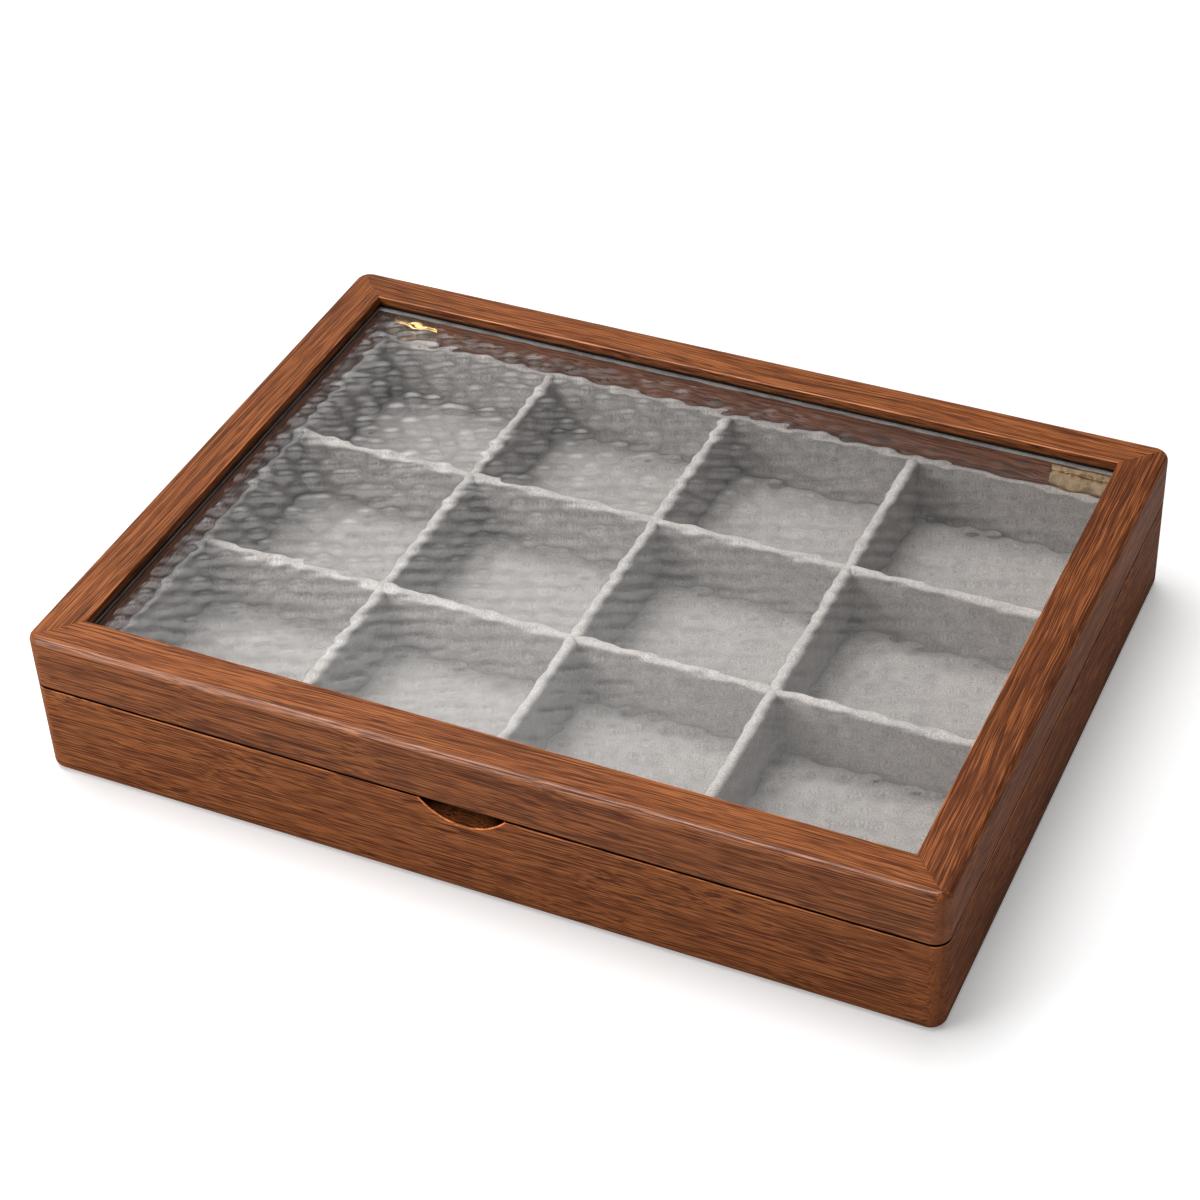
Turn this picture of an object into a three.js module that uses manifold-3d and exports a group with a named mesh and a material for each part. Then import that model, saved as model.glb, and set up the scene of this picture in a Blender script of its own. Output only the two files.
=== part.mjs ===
import * as THREE from 'three';
import { mergeVertices } from 'three/addons/utils/BufferGeometryUtils.js';
import Module from 'manifold-3d';

// A walnut jewelry box with a lined, divided tray and a hinged lid that frames a sheet of
// rippled glass. Millimetres, +Z up, front towards -Y, standing on z = 0.

const wasm = await Module();
wasm.setup();

// Case
const caseWidth = 350;
const caseDepth = 260;
const caseHeight = 63;
const jointHeight = 41; // foot to the middle of the line between base and lid
const jointGap = 0.4;
const wallThickness = 16.5; // base walls and lid rails, whose inner faces line up
const cornerRadius = 6;
const leastCornerRadius = 0.3; // where an outline is drawn in by more than the corner's radius
const topEdgeRadius = 3;
const footEdgeRadius = 3;
const jointChamfer = 0.5;
const arrisChamfer = 0.6; // inner top edge of the lid frame
const mitreGap = 0.1;

// Glass, held in a groove of the lid frame
const glassThickness = 3;
const glassDrop = 5; // top of the frame to the top of the glass
const glassGrooveDepth = 5;

// Bottom panel, held in a groove of the base walls
const panelThickness = 4;
const panelRise = 3; // foot to the underside of the panel
const panelGrooveDepth = 5;

const grooveSideGap = 0.15; // above and below what a groove holds
const grooveEndGap = 0.5;

// Finger notch in the rim of the front wall: part of a ball cut
const notchWidth = 35;
const notchDrop = 8.7;
const notchReach = 9; // into the wall at the rim

// Lined tray
const headroom = 10.5; // top of the tray to the underside of the glass
const trayGap = 0.8; // all round, to the inner faces of the case
const boardThickness = 2;
const padThickness = 8;
const trayWallThickness = 3;
const dividerThickness = 5;
const trayWallRound = 1.2;
const dividerRound = 2;
const columnCount = 4;
const rowCount = 3;
const softGap = 0.3; // between lined pieces

// Hinges: cranked leaves, knuckles behind the case
const leafWidth = 25;
const leafThickness = 1;
const leafInset = 1; // end of a leaf to the inner face of the side wall
const leafDrop = 12; // joint to the lower end of the base leaf
const leafHeadGap = 1.2; // top of the lid leaf to the underside of the glass
const leafReveal = 3.8; // how much of the lid leaf shows above the base leaf
const leafLift = 0.3; // middle of the joint to the flat of each leaf
const leafSpacing = 0.3; // between the upright parts of the two leaves
const mortiseGap = 0.2;
const knuckleDiameter = 4.8;
const knuckleCount = 3;
const knuckleGap = 0.3;
const knuckleBackGap = 0.4; // knuckles to the back of the case
const pinDiameter = 2.2;
const pinGap = 0.3;
const pinOverhang = 0.5;

// Countersunk screws, two to a leaf
const screwHeadDiameter = 2.6;
const screwShankDiameter = 1.4;
const screwLength = 8;
const screwSpacing = 14;
const screwDrop = 7; // hinge axis down to the base leaf's screws
const screwGap = 0.2;

// Facets
const cornerSteps = 6;
const edgeSteps = 4;
const roundSteps = 20;
const cutMargin = 1; // how far a cutter runs past what it cuts

// Sizes worked out from those above
const rimHeight = jointHeight - jointGap / 2;
const lidFoot = jointHeight + jointGap / 2;
const lidHeight = caseHeight - lidFoot;
const openingWidth = caseWidth - 2 * wallThickness;
const openingDepth = caseDepth - 2 * wallThickness;
const glassTop = caseHeight - glassDrop;
const glassUnderside = glassTop - glassThickness;
const panelTop = panelRise + panelThickness;
const trayTop = glassUnderside - headroom;
const trayWidth = openingWidth - 2 * trayGap;
const trayDepth = openingDepth - 2 * trayGap;
const knuckleRadius = knuckleDiameter / 2;
const axisOffset = knuckleBackGap + knuckleRadius; // back of the case to the hinge axis
const backOverhang = axisOffset + knuckleRadius;

const walnutTop = new THREE.MeshStandardMaterial({ color: 0x8c5638, roughness: 0.5, metalness: 0 });
const walnutBase = new THREE.MeshStandardMaterial({ color: 0x7d4a30, roughness: 0.5, metalness: 0 });
const panelWood = new THREE.MeshStandardMaterial({ color: 0x6f4a35, roughness: 0.7, metalness: 0 });
const brass = new THREE.MeshStandardMaterial({ color: 0xb89a5a, roughness: 0.3, metalness: 1 });
const velvet = new THREE.MeshStandardMaterial({ color: 0xa9a5a1, roughness: 0.95, metalness: 0 });
const card = new THREE.MeshStandardMaterial({ color: 0x8a8580, roughness: 0.9, metalness: 0 });
const glass = new THREE.MeshStandardMaterial({
  color: 0xdfe6e4, roughness: 0.05, metalness: 0, transparent: true, opacity: 0.35,
});

// Closed geometry to a solid, and back
function solidOf(geometry) {
  const bare = geometry.clone();
  bare.deleteAttribute('normal');
  bare.deleteAttribute('uv');
  const merged = mergeVertices(bare, 1e-4);
  return new wasm.Manifold(new wasm.Mesh({
    numProp: 3,
    vertProperties: merged.attributes.position.array,
    triVerts: Uint32Array.from(merged.index.array),
  }));
}

function geometryOf(solid) {
  const mesh = solid.getMesh();
  const geometry = new THREE.BufferGeometry();
  geometry.setAttribute('position', new THREE.BufferAttribute(mesh.vertProperties, 3));
  geometry.setIndex(new THREE.BufferAttribute(mesh.triVerts, 1));
  geometry.computeVertexNormals();
  return geometry;
}

function cut(solid, cutters) {
  return cutters.reduce((rest, cutter) => rest.subtract(cutter), solid);
}

// A box between two limits on each axis, to cut with or to add
function solidBlock([x0, x1], [y0, y1], [z0, z1]) {
  const geometry = new THREE.BoxGeometry(x1 - x0, y1 - y0, z1 - z0);
  return solidOf(geometry.translate((x0 + x1) / 2, (y0 + y1) / 2, (z0 + z1) / 2));
}

// From 0 to 1 in equal steps
function fractions(count) {
  return Array.from({ length: count + 1 }, (_, i) => i / count);
}

function rodAlongX(radius, length) {
  return new THREE.CylinderGeometry(radius, radius, length, roundSteps).rotateZ(Math.PI / 2);
}

function addMesh(parent, name, geometry, material) {
  const mesh = new THREE.Mesh(geometry, material);
  mesh.name = name;
  parent.add(mesh);
  return mesh;
}

// Rings of equal point counts stacked upwards and skinned, with flat convex ends
function stackRings(rings) {
  const count = rings[0].points.length;
  const positions = rings.flatMap(({ z, points }) => points.flatMap(([x, y]) => [x, y, z]));
  const index = [];
  for (let level = 0; level < rings.length - 1; level += 1) {
    for (let i = 0; i < count; i += 1) {
      const a = level * count + i;
      const b = level * count + (i + 1) % count;
      index.push(a, b, b + count, a, b + count, a + count);
    }
  }
  const last = (rings.length - 1) * count;
  for (let i = 1; i < count - 1; i += 1) {
    index.push(0, i + 1, i);
    index.push(last, last + i, last + i + 1);
  }
  const geometry = new THREE.BufferGeometry();
  geometry.setAttribute('position', new THREE.Float32BufferAttribute(positions, 3));
  geometry.setIndex(index);
  return geometry;
}

// Outline of the case at one height, drawn in by inset
function caseRing(z, inset) {
  const radius = Math.max(cornerRadius - inset, leastCornerRadius);
  const x = caseWidth / 2 - inset - radius;
  const y = caseDepth / 2 - inset - radius;
  const centres = [[x, y], [-x, y], [-x, -y], [x, -y]];
  const points = centres.flatMap(([centreX, centreY], quarter) => fractions(cornerSteps).map((part) => {
    const angle = (quarter + part) * Math.PI / 2;
    return [centreX + radius * Math.cos(angle), centreY + radius * Math.sin(angle)];
  }));
  return { z, points };
}

function squareRing(z, width, depth) {
  const x = width / 2;
  const y = depth / 2;
  return { z, points: [[x, y], [-x, y], [-x, -y], [x, -y]] };
}

// Rings of a quarter round: at a foot it opens upwards, at a top it draws in
function roundedFoot(radius) {
  return fractions(edgeSteps).map((part) => {
    const angle = part * Math.PI / 2;
    return caseRing(radius - radius * Math.cos(angle), radius - radius * Math.sin(angle));
  });
}

function roundedTop(top, radius) {
  return fractions(edgeSteps).map((part) => {
    const angle = part * Math.PI / 2;
    return caseRing(top - radius + radius * Math.sin(angle), radius - radius * Math.cos(angle));
  });
}

// The four mitred sides of a frame: each keeps what lies in its own wedge
function mitredSides(frame, height) {
  const outX = caseWidth / 2 + cutMargin;
  const outY = caseDepth / 2 + cutMargin;
  const inX = caseWidth / 2 - wallThickness - cutMargin;
  const inY = caseDepth / 2 - wallThickness - cutMargin;
  const side = (corners) => {
    const shape = new THREE.Shape(corners.map(([x, y]) => new THREE.Vector2(x, y)));
    const depth = height + 2 * cutMargin;
    const wedge = new THREE.ExtrudeGeometry(shape, { depth, bevelEnabled: false });
    return frame.intersect(solidOf(wedge.translate(0, 0, -cutMargin)));
  };
  const longSide = (sign) => side([
    [-outX + mitreGap, sign * outY],
    [outX - mitreGap, sign * outY],
    [inX - mitreGap, sign * inY],
    [-inX + mitreGap, sign * inY],
  ]);
  const shortSide = (sign) => side([
    [sign * outX, -outY],
    [sign * outX, outY],
    [sign * inX, inY],
    [sign * inX, -inY],
  ]);
  return { front: longSide(-1), back: longSide(1), left: shortSide(-1), right: shortSide(1) };
}

// A groove all round the inside of a frame
function grooveCutter(depth, low, high) {
  const x = openingWidth / 2 + depth;
  const y = openingDepth / 2 + depth;
  return solidBlock([-x, x], [-y, y], [low - grooveSideGap, high + grooveSideGap]);
}

// Hinge sizes, measured from its axis: y to the back, z up
const hingeX = openingWidth / 2 - leafInset - leafWidth / 2;
const innerFaceY = -(axisOffset + wallThickness);
const basePlateY = [innerFaceY, innerFaceY + leafThickness];
const lidPlateY = [basePlateY[1] + leafSpacing, basePlateY[1] + leafSpacing + leafThickness];
const lidPlateTop = glassUnderside - leafHeadGap - jointHeight;
const basePlateTop = lidPlateTop - leafReveal;
const halfLeaf = leafWidth / 2;
const knuckleWidth = leafWidth / knuckleCount;
const lidScrewRise = lidPlateTop - leafReveal / 2;
const hinges = [
  { side: 'left', x: -hingeX },
  { side: 'right', x: hingeX },
];

// Half section of a countersunk screw driven towards the back, its head flush with y = 0
function screwSection(gap) {
  const head = screwHeadDiameter / 2 + gap;
  const shank = screwShankDiameter / 2 + gap;
  const end = screwLength + gap;
  return [[head, 0], [shank, head - shank], [shank, end - shank], [0, end]];
}

function turned(section) {
  const points = section.map(([radius, along]) => new THREE.Vector2(radius, along));
  return new THREE.LatheGeometry(points, roundSteps);
}

function screwGeometry() {
  return turned([[0, 0], ...screwSection(0)]);
}

const screwPlaces = [-screwSpacing / 2, screwSpacing / 2];

// Screw holes of one leaf, which run out past its face
function screwHoles(y, z) {
  const mouth = [[0, -screwGap], [screwHeadDiameter / 2 + screwGap, -screwGap]];
  return screwPlaces.map((x) => solidOf(turned([...mouth, ...screwSection(screwGap)]).translate(x, y, z)));
}

// What one leaf takes out of the wood, in the hinge's own frame
function mortise(plateY, webZ, plateZ, screwZ) {
  const across = [-halfLeaf - mortiseGap, halfLeaf + mortiseGap];
  const mouth = innerFaceY - cutMargin;
  return [
    solidBlock(across, [mouth, -axisOffset + cutMargin], webZ),
    solidBlock(across, [mouth, plateY[1] + mortiseGap], plateZ),
    ...screwHoles(plateY[0], screwZ),
  ];
}

function baseMortise() {
  const webFoot = -leafLift - leafThickness - mortiseGap;
  return mortise(basePlateY, [webFoot, cutMargin], [-leafDrop - mortiseGap, cutMargin], -screwDrop);
}

function lidMortise() {
  const webHead = leafLift + leafThickness + mortiseGap;
  return mortise(lidPlateY, [-cutMargin, webHead], [-cutMargin, lidPlateTop + mortiseGap], lidScrewRise);
}

function atBothHinges(solids, z) {
  const y = caseDepth / 2 + axisOffset;
  return hinges.flatMap((hinge) => solids.map((solid) => solid.translate(hinge.x, y, z)));
}

const box = new THREE.Group();
box.position.y = -backOverhang / 2; // the knuckles stand out behind, so the case sits forward

// Base
const base = new THREE.Group();
box.add(base);

function notchCutter() {
  const halfChord = notchWidth / 2;
  const faceRadius = (halfChord ** 2 + notchDrop ** 2) / (2 * notchDrop);
  const setOut = (halfChord ** 2 - notchReach ** 2) / (2 * notchReach);
  const ball = new THREE.SphereGeometry(Math.hypot(faceRadius, setOut), 2 * roundSteps, roundSteps);
  return solidOf(ball.translate(0, -caseDepth / 2 - setOut, rimHeight - notchDrop + faceRadius));
}

const baseFrame = cut(
  solidOf(stackRings([
    ...roundedFoot(footEdgeRadius),
    caseRing(rimHeight - jointChamfer, 0),
    caseRing(rimHeight, jointChamfer),
  ])),
  [
    solidOf(stackRings([
      squareRing(-cutMargin, openingWidth, openingDepth),
      squareRing(rimHeight + cutMargin, openingWidth, openingDepth),
    ])),
    grooveCutter(panelGrooveDepth, panelRise, panelTop),
  ],
);
const baseSides = mitredSides(baseFrame, rimHeight);
baseSides.front = baseSides.front.subtract(notchCutter());
baseSides.back = cut(baseSides.back, atBothHinges(baseMortise(), jointHeight));
for (const [side, solid] of Object.entries(baseSides)) {
  addMesh(base, `base_${side}_wall`, geometryOf(solid), walnutBase);
}

const panelWidth = openingWidth + 2 * (panelGrooveDepth - grooveEndGap);
const panelDepth = openingDepth + 2 * (panelGrooveDepth - grooveEndGap);
const panelGeometry = new THREE.BoxGeometry(panelWidth, panelDepth, panelThickness);
const panel = addMesh(base, 'base_panel', panelGeometry, panelWood);
panel.position.z = panelRise + panelThickness / 2;

// Tray: a card board, a padded floor, four lined walls and slotted dividers
const tray = new THREE.Group();
tray.position.z = panelTop;
box.add(tray);

const board = addMesh(tray, 'tray_board', new THREE.BoxGeometry(trayWidth, trayDepth, boardThickness), card);
board.position.z = boardThickness / 2;

const trayInnerWidth = trayWidth - 2 * trayWallThickness;
const trayInnerDepth = trayDepth - 2 * trayWallThickness;
const pad = addMesh(
  tray,
  'tray_pad',
  new THREE.BoxGeometry(trayInnerWidth - 2 * softGap, trayInnerDepth - 2 * softGap, padThickness),
  velvet,
);
pad.position.z = boardThickness + padThickness / 2;

// An upright strip with a rounded top, running along X, standing on z = 0
function linedStrip(length, height, thickness, round) {
  const half = thickness / 2;
  const radius = Math.min(round, half);
  const profile = new THREE.Shape();
  profile.moveTo(-half, 0);
  profile.lineTo(half, 0);
  profile.lineTo(half, height - radius);
  profile.absarc(half - radius, height - radius, radius, 0, Math.PI / 2, false);
  profile.lineTo(-half + radius, height);
  profile.absarc(-half + radius, height - radius, radius, Math.PI / 2, Math.PI, false);
  profile.closePath();
  const settings = { depth: length, bevelEnabled: false, curveSegments: edgeSteps };
  const strip = new THREE.ExtrudeGeometry(profile, settings);
  return strip.translate(0, 0, -length / 2).rotateX(Math.PI / 2).rotateZ(Math.PI / 2);
}

const dividerWidth = trayInnerDepth - 2 * softGap; // front to back, between the long tray walls
const dividerLength = trayInnerWidth - 2 * softGap;
const wallHeight = trayTop - panelTop - boardThickness;
const trayWallX = (trayWidth - trayWallThickness) / 2;
const trayWallY = (trayDepth - trayWallThickness) / 2;
const alongY = Math.PI / 2; // turns a strip that runs along X
const trayWalls = [
  { name: 'front', length: trayWidth, x: 0, y: -trayWallY, turn: 0 },
  { name: 'back', length: trayWidth, x: 0, y: trayWallY, turn: 0 },
  { name: 'left', length: dividerWidth, x: -trayWallX, y: 0, turn: alongY },
  { name: 'right', length: dividerWidth, x: trayWallX, y: 0, turn: alongY },
];
for (const { name, length, x, y, turn } of trayWalls) {
  const strip = solidOf(linedStrip(length, wallHeight, trayWallThickness, trayWallRound));
  const wall = addMesh(tray, `tray_${name}_wall`, geometryOf(strip), velvet);
  wall.position.set(x, y, boardThickness);
  wall.rotation.z = turn;
}

// Centres of the dividers between equal compartments
function dividerPlaces(inner, count) {
  const pitch = (inner + dividerThickness) / count;
  return Array.from({ length: count - 1 }, (_, i) => -inner / 2 - dividerThickness / 2 + (i + 1) * pitch);
}

const columnPlaces = dividerPlaces(trayInnerWidth, columnCount);
const rowPlaces = dividerPlaces(trayInnerDepth, rowCount);
const dividerFoot = boardThickness + padThickness + softGap;
const dividerHeight = trayTop - panelTop - dividerFoot;

// Dividers cross by half laps: columns are slotted from below, rows from above
function slottedDivider(length, crossings, slotZ) {
  const strip = solidOf(linedStrip(length, dividerHeight, dividerThickness, dividerRound));
  const half = dividerThickness / 2 + softGap;
  const through = [-half - cutMargin, half + cutMargin];
  const slots = crossings.map((x) => solidBlock([x - half, x + half], through, slotZ));
  return geometryOf(cut(strip, slots));
}

const lapHeight = dividerHeight / 2;
const columnGeometry = slottedDivider(dividerWidth, rowPlaces, [-cutMargin, lapHeight + softGap / 2]);
columnPlaces.forEach((x, i) => {
  const divider = addMesh(tray, `column_divider_${i + 1}`, columnGeometry, velvet);
  divider.position.set(x, 0, dividerFoot);
  divider.rotation.z = alongY;
});
const rowSlotZ = [lapHeight - softGap / 2, dividerHeight + cutMargin];
const rowGeometry = slottedDivider(dividerLength, columnPlaces, rowSlotZ);
rowPlaces.forEach((y, i) => {
  const divider = addMesh(tray, `row_divider_${i + 1}`, rowGeometry, velvet);
  divider.position.set(0, y, dividerFoot);
});

// Lid
const lid = new THREE.Group();
lid.position.z = lidFoot;
box.add(lid);

const arrisFlare = 2 * (arrisChamfer + cutMargin); // how much wider the opening is past the top
const lidFrame = cut(
  solidOf(stackRings([
    caseRing(0, jointChamfer),
    caseRing(jointChamfer, 0),
    ...roundedTop(lidHeight, topEdgeRadius),
  ])),
  [
    solidOf(stackRings([
      squareRing(-cutMargin, openingWidth, openingDepth),
      squareRing(lidHeight - arrisChamfer, openingWidth, openingDepth),
      squareRing(lidHeight + cutMargin, openingWidth + arrisFlare, openingDepth + arrisFlare),
    ])),
    grooveCutter(glassGrooveDepth, glassUnderside - lidFoot, glassTop - lidFoot),
  ],
);
const lidSides = mitredSides(lidFrame, lidHeight);
lidSides.back = cut(lidSides.back, atBothHinges(lidMortise(), jointHeight - lidFoot));
for (const [side, solid] of Object.entries(lidSides)) {
  addMesh(lid, `lid_${side}_rail`, geometryOf(solid), walnutTop);
}

const glassWidth = openingWidth + 2 * (glassGrooveDepth - grooveEndGap);
const glassDepth = openingDepth + 2 * (glassGrooveDepth - grooveEndGap);
const paneGeometry = new THREE.BoxGeometry(glassWidth, glassDepth, glassThickness);
const pane = addMesh(lid, 'glass_pane', paneGeometry, glass);
pane.position.z = glassUnderside - lidFoot + glassThickness / 2;

// A leaf: an upright plate inside the case, a flat web through the joint and, behind the case,
// every second knuckle from the first one named
function leafSolid({ plateY, plateZ, webZ, screwZ, firstKnuckle, stops = [] }) {
  const across = [-halfLeaf, halfLeaf];
  const plate = solidBlock(across, plateY, plateZ);
  const web = solidBlock(across, [plateY[0], 0], webZ);
  const barrel = solidOf(rodAlongX(knuckleRadius, leafWidth));
  const whole = [web, barrel, ...stops].reduce((sum, part) => sum.add(part), plate);
  const gaps = [];
  for (let i = 1 - firstKnuckle; i < knuckleCount; i += 2) {
    const lowGap = i === 0 ? cutMargin : knuckleGap / 2;
    const highGap = i === knuckleCount - 1 ? cutMargin : knuckleGap / 2;
    gaps.push(solidBlock(
      [i * knuckleWidth - halfLeaf - lowGap, (i + 1) * knuckleWidth - halfLeaf + highGap],
      [-knuckleRadius - knuckleBackGap, knuckleRadius + cutMargin],
      [-knuckleDiameter, knuckleDiameter],
    ));
  }
  const bore = solidOf(rodAlongX(pinDiameter / 2 + pinGap, leafWidth + 2 * cutMargin));
  return cut(whole, [...gaps, bore, ...screwHoles(plateY[0], screwZ)]);
}

// Square shoulders on the base knuckles stop the open lid
const shoulder = solidBlock([-halfLeaf, halfLeaf], [0, knuckleRadius], [0, knuckleRadius]);
const baseLeaf = leafSolid({
  plateY: basePlateY,
  plateZ: [-leafDrop, basePlateTop],
  webZ: [-leafLift - leafThickness, -leafLift],
  screwZ: -screwDrop,
  firstKnuckle: 0,
  stops: [shoulder],
});
const lidLeaf = leafSolid({
  plateY: lidPlateY,
  plateZ: [leafLift, lidPlateTop],
  webZ: [leafLift, leafLift + leafThickness],
  screwZ: lidScrewRise,
  firstKnuckle: 1,
});

for (const { side, x } of hinges) {
  const hinge = new THREE.Group();
  hinge.position.set(x, caseDepth / 2 + axisOffset, jointHeight);
  box.add(hinge);
  addMesh(hinge, `${side}_hinge_base_leaf`, geometryOf(baseLeaf), brass);
  addMesh(hinge, `${side}_hinge_lid_leaf`, geometryOf(lidLeaf), brass);
  addMesh(hinge, `${side}_hinge_pin`, rodAlongX(pinDiameter / 2, leafWidth + 2 * pinOverhang), brass);
  screwPlaces.forEach((along, i) => {
    const low = addMesh(hinge, `${side}_hinge_base_screw_${i + 1}`, screwGeometry(), brass);
    low.position.set(along, basePlateY[0], -screwDrop);
    const high = addMesh(hinge, `${side}_hinge_lid_screw_${i + 1}`, screwGeometry(), brass);
    high.position.set(along, lidPlateY[0], lidScrewRise);
  });
}

const group = new THREE.Group();
group.add(box);

export default group;
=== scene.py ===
import math

import bmesh
import bpy
import numpy as np
from mathutils import Matrix, Vector


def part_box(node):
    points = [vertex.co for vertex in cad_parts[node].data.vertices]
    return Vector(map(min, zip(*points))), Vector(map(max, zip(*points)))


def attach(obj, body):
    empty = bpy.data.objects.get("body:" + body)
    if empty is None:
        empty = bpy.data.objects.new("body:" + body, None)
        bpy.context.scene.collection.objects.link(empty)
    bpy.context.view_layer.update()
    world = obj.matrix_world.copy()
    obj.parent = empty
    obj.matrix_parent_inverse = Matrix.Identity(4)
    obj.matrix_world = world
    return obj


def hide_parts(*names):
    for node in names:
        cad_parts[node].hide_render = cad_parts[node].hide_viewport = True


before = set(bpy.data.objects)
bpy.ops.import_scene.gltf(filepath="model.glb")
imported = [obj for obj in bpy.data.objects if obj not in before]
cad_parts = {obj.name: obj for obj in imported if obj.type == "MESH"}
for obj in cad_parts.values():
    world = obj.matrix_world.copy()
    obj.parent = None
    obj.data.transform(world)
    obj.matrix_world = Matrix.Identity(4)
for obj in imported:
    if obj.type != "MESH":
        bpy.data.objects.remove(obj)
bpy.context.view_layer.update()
mm = 0.001

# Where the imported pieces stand, in metres
frontLow, frontHigh = map(np.array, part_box("base_front_wall"))
backLow, backHigh = map(np.array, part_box("base_back_wall"))
lidLow, lidHigh = map(np.array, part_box("lid_front_rail"))
paneLow, paneHigh = map(np.array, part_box("glass_pane"))
panelLow, panelHigh = map(np.array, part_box("base_panel"))
wallThickness = frontHigh[1] - frontLow[1]
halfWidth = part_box("base_right_wall")[1][0]
halfDepth = (backHigh[1] - frontLow[1]) / 2
middleY = (backHigh[1] + frontLow[1]) / 2


# Meshes

def makeMesh(name, points, polygons, sharpAngle=40):
    # polygons: integer arrays, one row a face, each array with its own number of corners
    corners = np.concatenate([p.ravel() for p in polygons]).astype(np.int32)
    sizes = np.concatenate([np.full(len(p), p.shape[1]) for p in polygons])
    starts = np.concatenate([[0], np.cumsum(sizes)[:-1]]).astype(np.int32)
    mesh = bpy.data.meshes.new(name)
    mesh.vertices.add(len(points))
    mesh.vertices.foreach_set("co", points.astype(np.float32).ravel())
    mesh.loops.add(len(corners))
    mesh.loops.foreach_set("vertex_index", corners)
    mesh.polygons.add(len(sizes))
    mesh.polygons.foreach_set("loop_start", starts)
    mesh.update(calc_edges=True)
    mesh.validate()
    work = bmesh.new()
    work.from_mesh(mesh)
    bmesh.ops.recalc_face_normals(work, faces=work.faces)
    work.to_mesh(mesh)
    work.free()
    softShade(mesh, sharpAngle)
    made = bpy.data.objects.new(name, mesh)
    bpy.context.scene.collection.objects.link(made)
    return made


def softShade(mesh, sharpAngle):
    mesh.polygons.foreach_set("use_smooth", np.ones(len(mesh.polygons), bool))
    mesh.set_sharp_from_angle(angle=math.radians(sharpAngle))


def gridQuads(rows, columns, first=0, closed=True):
    # quads of a grid of rows by columns points, whose columns wrap round when closed
    row, column = np.meshgrid(np.arange(rows - 1), np.arange(columns - (not closed)), indexing="ij")
    following = (column + 1) % columns
    a, b = row * columns + column, row * columns + following
    return first + np.stack([a, b, b + columns, a + columns], -1).reshape(-1, 4)


def tubeMesh(name, grid, sharpAngle=40):
    # grid[station, point]: a closed outline carried along stations, with a flat face at both ends
    stations, around = grid.shape[:2]
    ends = np.stack([np.arange(around)[::-1], (stations - 1) * around + np.arange(around)])
    return makeMesh(name, grid.reshape(-1, 3), [gridQuads(stations, around), ends], sharpAngle)


def arc(centre, radius, start, end, steps):
    # centre + radius * (cos a, sin a), a from start to end in degrees
    angle = np.radians(np.linspace(start, end, steps + 1))
    return np.stack([centre[0] + radius * np.cos(angle), centre[1] + radius * np.sin(angle)], -1)


def blockMesh(name, low, high):
    outline = ((low[0], low[1]), (high[0], low[1]), (high[0], high[1]), (low[0], high[1]))
    corners = np.array([[(x, y, z) for x, y in outline] for z in (low[2], high[2])])
    return tubeMesh(name, corners)


def cutAway(piece, cutters):
    # takes the cutters out of the piece and applies the result
    for cutter in cutters:
        step = piece.modifiers.new("cut", "BOOLEAN")
        step.operation, step.solver, step.object = "DIFFERENCE", "EXACT", cutter
    bpy.context.view_layer.update()
    mesh = bpy.data.meshes.new_from_object(piece.evaluated_get(bpy.context.evaluated_depsgraph_get()))
    piece.modifiers.clear()
    piece.data = mesh
    softShade(mesh, 40)
    for cutter in cutters:
        bpy.data.objects.remove(cutter)


def valueNoise(points, cell, seed):
    # random numbers from -1 to 1 on a cubic lattice, blended between its corners by 3t^2 - 2t^3
    place = points / cell
    corner = np.floor(place).astype(np.int64)
    part = place - corner
    part = part * part * (3 - 2 * part)
    total = np.zeros(points.shape[:-1])
    for offset in np.ndindex(2, 2, 2):
        key = (corner + offset) * np.array([73856093, 19349663, 83492791]) + seed * 2654435761
        mixed = (key[..., 0] ^ key[..., 1] ^ key[..., 2]) & 0xFFFFFFFF
        mixed = ((mixed ^ (mixed >> 16)) * 73244475) & 0xFFFFFFFF
        mixed = ((mixed ^ (mixed >> 16)) * 73244475) & 0xFFFFFFFF
        number = ((mixed ^ (mixed >> 16)) & 0xFFFFFF) / 0xFFFFFF * 2 - 1
        weight = np.prod(np.where(np.array(offset) == 1, part, 1 - part), axis=-1)
        total += number * weight
    return total


# Node trees

def addNode(tree, kind, inputs=(), **settings):
    made = tree.nodes.new("ShaderNode" + kind)
    for name, value in settings.items():
        setattr(made, name, value)
    for name, value in dict(inputs).items():
        if isinstance(value, bpy.types.NodeSocket):
            tree.links.new(value, made.inputs[name])
        else:
            made.inputs[name].default_value = value
    return made


def math2(tree, operation, first, second=0.0):
    return addNode(tree, "Math", {0: first, 1: second}, operation=operation).outputs[0]


def ramp(tree, value, stops, smooth=True):
    made = addNode(tree, "ValToRGB", {"Fac": value})
    made.color_ramp.interpolation = "EASE" if smooth else "LINEAR"
    while len(made.color_ramp.elements) < len(stops):
        made.color_ramp.elements.new(0.5)
    for element, (place, colour) in zip(made.color_ramp.elements, stops):
        element.position = place
        element.color = (*colour, 1) if isinstance(colour, tuple) else (colour, colour, colour, 1)
    return made.outputs["Color"]


def mixColour(tree, share, first, second):
    return addNode(tree, "Mix", {0: share, 6: first, 7: second}, data_type="RGBA").outputs[2]


def mixValue(tree, share, first, second):
    return addNode(tree, "Mix", {0: share, 2: first, 3: second}).outputs[0]


def mapped(tree, value, source, target=(0.0, 1.0), smooth=False):
    # a value carried from the source range onto the target range and held at its ends
    return addNode(tree, "MapRange", {
        "Value": value, "From Min": source[0], "From Max": source[1],
        "To Min": target[0], "To Max": target[1],
    }, interpolation_type="SMOOTHSTEP" if smooth else "LINEAR").outputs[0]


def product(tree, first, *others):
    for other in others:
        first = math2(tree, "MULTIPLY", first, other)
    return first


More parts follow.
